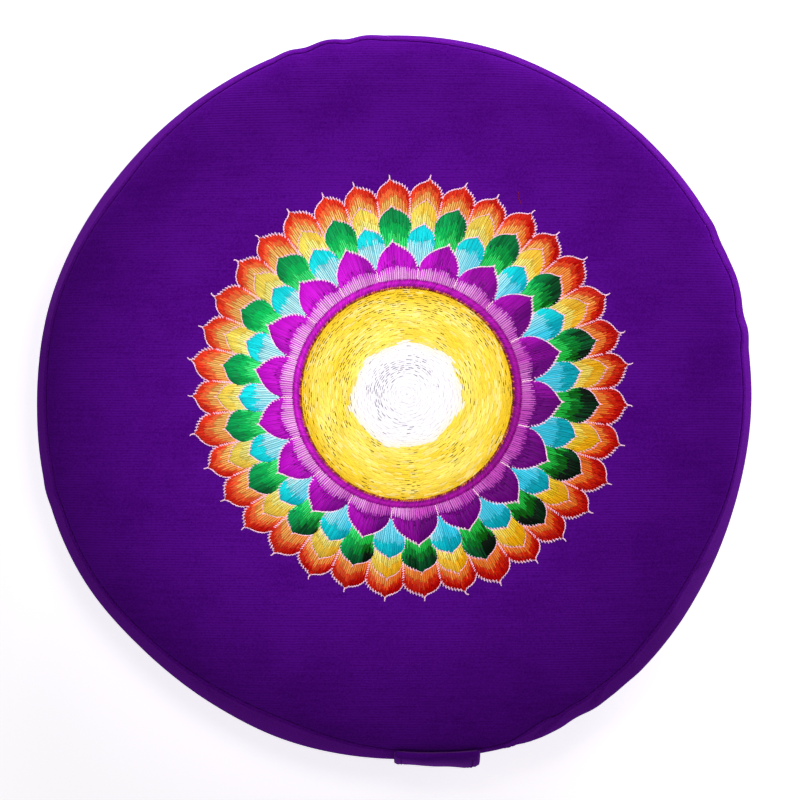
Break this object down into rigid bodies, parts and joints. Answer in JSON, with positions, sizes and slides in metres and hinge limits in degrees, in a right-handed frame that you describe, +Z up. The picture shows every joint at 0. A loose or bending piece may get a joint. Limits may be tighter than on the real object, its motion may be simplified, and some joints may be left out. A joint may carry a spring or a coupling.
{
  "type": "round zafu meditation cushion",
  "caption": "Round filled floor cushion with a bulging side band, a crowned top panel, a flat bottom to rest on and a carrying strap down one side.",
  "frame": {"origin": "on the flat bottom face, on the vertical line through the middle of the cushion", "axes": "+Z up through the crown, -Y towards the carrying strap, +X to the right of the strap seen from the front"},
  "size_m": [0.3535, 0.3682, 0.15],
  "materials": {
    "panel_cotton": "matt ribbed cotton, violet, with silky embroidery in the middle of the top panel",
    "band_cotton": "matt ribbed cotton, violet",
    "strap_cotton": "matt folded cotton, violet"
  },
  "bodies": {
    "root": {"filled_body": "band_cotton", "top_panel": "panel_cotton", "bottom_panel": "panel_cotton", "handle_strap": "strap_cotton"}
  },
  "joints": []
}
